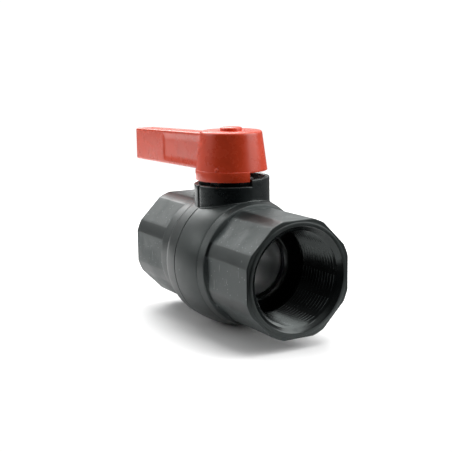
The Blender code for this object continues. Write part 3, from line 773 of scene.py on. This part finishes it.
# Handle: one red moulding. A hollow conical hub drops over the stem's square, a skirt under it
# turns between the collar's stops, and the lever is a channel open below with a thicker grip.
HANDLE_RED = moulded(
    "handle_red", (0.60, 0.052, 0.016), (0.67, 0.062, 0.021), (0.80, 0.20, 0.13),
    gloss=(0.24, 0.32), grain=(900.0, 0.006), specks=(900.0, 0.012), rubs=0.74,
    draw=(90.0, 900.0, 900.0),
)
hub_corners = [
    (41.8, 2.8), (41.8, 9.5), (62.3, 9.5), (62.3, 13.2), (45.4, 15.8), (45.4, 18.2),
    (65.3, 15.6), (65.3, 5.8), (56.0, 5.8), (56.0, 2.8),
]
hub_radii = [0.0, 0.4, 0.0, 1.0, 0.3, 0.25, 1.3, 0.35, 0.0, 0.0]
hub_profile = rounded(hub_corners, hub_radii, 5)
cone = np.linspace(0.04, 0.96, 12)[:, None]
rim_end = next(k for k, point in enumerate(hub_profile) if point[1] < 17.2 and point[0] > 63.0)
cone_points = hub_profile[rim_end - 1] * (1.0 - cone) + hub_profile[rim_end] * cone
hub_profile = np.concatenate((hub_profile[:rim_end], cone_points, hub_profile[rim_end:]))
hub = lathe("handle_moulded", hub_profile, [HANDLE_RED], count=144)

lever_tip, lever_root, lever_step = -102.0, -10.0, -65.2
tip_low, tip_high, root_low, root_high = 42.4, 60.4, 43.8, 63.2


def lever_solid():
    """The lever's outside: a rounded box drawn along X, tapering to the tip.

    Towards the hub each side has a shallow panel, where the wall lies further in. Near the hub
    the sides flare out to meet it. The tip's edges are rounded.
    """
    edge = 1.0
    stations = np.concatenate((
        lever_tip + edge * (1.0 - np.cos(np.radians(np.linspace(0.0, 90.0, 7)))),
        lever_tip + np.array([1.6, 1.85, 2.2]),
        np.linspace(-98.0, -67.0, 12),
        lever_step + np.array([-0.6, -0.28, -0.1, 0.1, 0.28, 0.6]),
        np.linspace(-63.0, -28.0, 10),
        np.linspace(-26.0, lever_root, 14),
    ))
    inset = edge - np.sqrt(np.clip(edge**2 - np.clip(lever_tip + edge - stations, 0, edge) ** 2, 0, None))
    share = (stations - lever_tip) / (-15.0 - lever_tip)
    low = tip_low + (root_low - tip_low) * share
    high = tip_high + (root_high - tip_high) * np.minimum(share, 1.0)
    flare = np.clip((stations + 25.0) / 10.0, 0.0, 1.0)
    half = 6.0 + 3.2 * flare**2
    corner = np.radians(np.linspace(0.0, 90.0, 6))
    wall = np.array([0.0, 0.3, 0.45, 0.6, 1.2, 3.0, 6.0, 9.0, 12.0])
    loops = []
    for x, cut, z0, z1, w in zip(stations, inset, low, high, half):
        z0, z1, w = z0 + cut, z1 - cut, w - cut
        radius = max(edge - cut, 0.05)
        rise = z1 - z0 - 2 * radius
        steps = np.concatenate((wall[:-1] / 24.0, [0.5], 1.0 - wall[-2::-1] / 24.0)) * rise
        z = z0 + radius + steps
        margin = np.minimum(steps, rise - steps)
        in_panel = np.clip((margin - 1.0) / 0.9, 0.0, 1.0)
        near_hub = np.clip((x - lever_step + 0.6) / 1.2, 0.0, 1.0)
        depth = in_panel * 0.34 * near_hub
        depth *= np.clip((-16.0 - x) / 5.0, 0.0, 1.0)
        right = np.stack((w - depth, z), 1)
        top_right = np.stack((w - radius + radius * np.cos(corner), z1 - radius + radius * np.sin(corner)), 1)
        low_right = np.stack((w - radius + radius * np.sin(corner), z0 + radius - radius * np.cos(corner)), 1)
        across = np.linspace(w - radius, radius - w, 9)[1:-1]
        top = np.stack((across, 0 * across + z1), 1)
        bottom = np.stack((-across, 0 * across + z0), 1)
        mirror = np.array((-1.0, 1.0))
        ring = (right, top_right, top, top_right[::-1] * mirror, right[::-1] * mirror)
        ring += (low_right[::-1] * mirror, bottom, low_right)
        loop = np.concatenate(ring)
        loops.append(np.column_stack((np.full(len(loop), x), loop)))
    return grid_piece("lever_solid", np.array(loops), [HANDLE_RED], wrap=(False, True))


def channel_tool():
    """What is taken out of the lever from below: a box drawn along X under its roof."""
    x = np.array([-15.0, -18.0, -99.6])
    share = (x - lever_tip) / (-15.0 - lever_tip)
    roof = 57.6 + (60.4 - 57.6) * share
    shape = [(3.4, 30.0), (3.6, 44.0), (3.3, 1.0), (3.15, 0.7), (2.6, 0.1), (2.3, 0.0)]
    loops = []
    for k in range(3):
        right = [(y, z if z > 20.0 else roof[k] - z) for y, z in shape]
        loop = np.array(right + [(-y, z) for y, z in right[::-1]])
        loops.append(np.column_stack((np.full(len(loop), x[k]), loop)))
    return grid_piece("channel_tool", np.array(loops), [HANDLE_RED], wrap=(False, True))


def skirt_solid():
    """The skirt: part of a turned ring under the hub, standing a little proud of it."""
    angles = np.radians(np.linspace(-149.5, -0.5, 64))
    corners = [(40.9, 15.9), (40.9, 18.4), (46.0, 18.4), (46.0, 15.9)]
    profile = rounded(corners, [0.2, 0.3, 0.2, 0.0])
    radius, z = profile[:, 1:], profile[:, :1] + 0 * angles
    points = np.stack((radius * np.cos(angles), radius * np.sin(angles), z), -1)
    return grid_piece("skirt_solid", points, [HANDLE_RED], wrap=(True, False))


def gate_mark():
    """The small round stub left where the plastic entered the mould."""
    angles = np.radians(np.linspace(0.0, 360.0, 25)[:-1])
    tall = np.radians(np.linspace(0.0, 90.0, 7))
    out = np.radians(-55.0)
    spread = 1.15 * np.cos(tall)[:, None]
    lift = 17.6 + 0.9 * np.sin(tall)[:, None] + 0 * angles
    side_way = spread * np.cos(angles)
    up_way = 47.0 + spread * np.sin(angles)
    x = lift * np.cos(out) - side_way * np.sin(out)
    y = lift * np.sin(out) + side_way * np.cos(out)
    return grid_piece("gate_mark", np.stack((x, y, up_way), -1), [HANDLE_RED], wrap=(False, True))


lever = lever_solid()
boolean(lever, channel_tool(), "DIFFERENCE")
boolean(hub, lever, "UNION")
boolean(hub, skirt_solid(), "UNION")
boolean(hub, gate_mark(), "UNION")
socket_rows = np.array([40.0, 53.3])
socket_half = np.array([(5.5, 5.5), (-5.5, 5.5), (-5.5, -5.5), (5.5, -5.5)])
socket_points = np.array([[(x, y, z) for x, y in socket_half] for z in socket_rows])
boolean(hub, grid_piece("socket_tool", socket_points, [HANDLE_RED], wrap=(False, True)), "DIFFERENCE")
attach(hub, "handle")
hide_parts("handle")

# Handle fixings: a steel screw with a hexagon recess and its washer clamp the handle down, and
# a domed plastic cap snaps into the well over them.
washer = flat_ring("screw_washer_turned", 56.3, 57.3, 2.8, 5.2, 0.15, STEEL)
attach(washer, "handle")
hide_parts("handle_screw_washer")
screw_profile = [(45.0, 0.0), (45.0, 1.9), (45.2, 2.1), (45.7, 2.45)]
pitch, turns = 0.8, 11
for k in range(turns):
    start = 46.0 + pitch * k
    screw_profile += [(start, 2.5), (start + 0.1, 2.5), (start + 0.4, 2.1), (start + 0.5, 2.1)]
screw_profile += [(55.2, 2.5), (57.6, 2.5), (57.6, 4.4), (57.8, 4.6), (59.9, 4.6), (60.25, 4.45)]
screw_profile += [(60.4, 4.1), (60.4, 0.0)]
screw = lathe("screw_turned", screw_profile, [STEEL], count=64)
hexagon = np.radians(np.arange(0.0, 360.0, 60.0))
hex_points = np.array([[(2.3 * np.cos(a), 2.3 * np.sin(a), z) for a in hexagon] for z in (58.6, 62.0)])
boolean(screw, grid_piece("hex_tool", hex_points, [STEEL], wrap=(False, True)), "DIFFERENCE")
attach(screw, "handle")
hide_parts("handle_screw")

dome = [(66.3, 5.5), (66.62, 5.42), (66.86, 5.2), (67.0, 4.85)]
dome += [(67.0 + 0.3 * (1.0 - (r / 4.85) ** 2), r) for r in (4.2, 3.2, 2.2, 1.1)] + [(67.3, 0.0)]
cap = lathe("cap_domed", [(60.7, 0.0), (60.7, 5.3), (60.8, 5.5), (63.0, 5.5)] + dome, [HANDLE_RED])
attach(cap, "handle")
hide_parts("handle_cap")
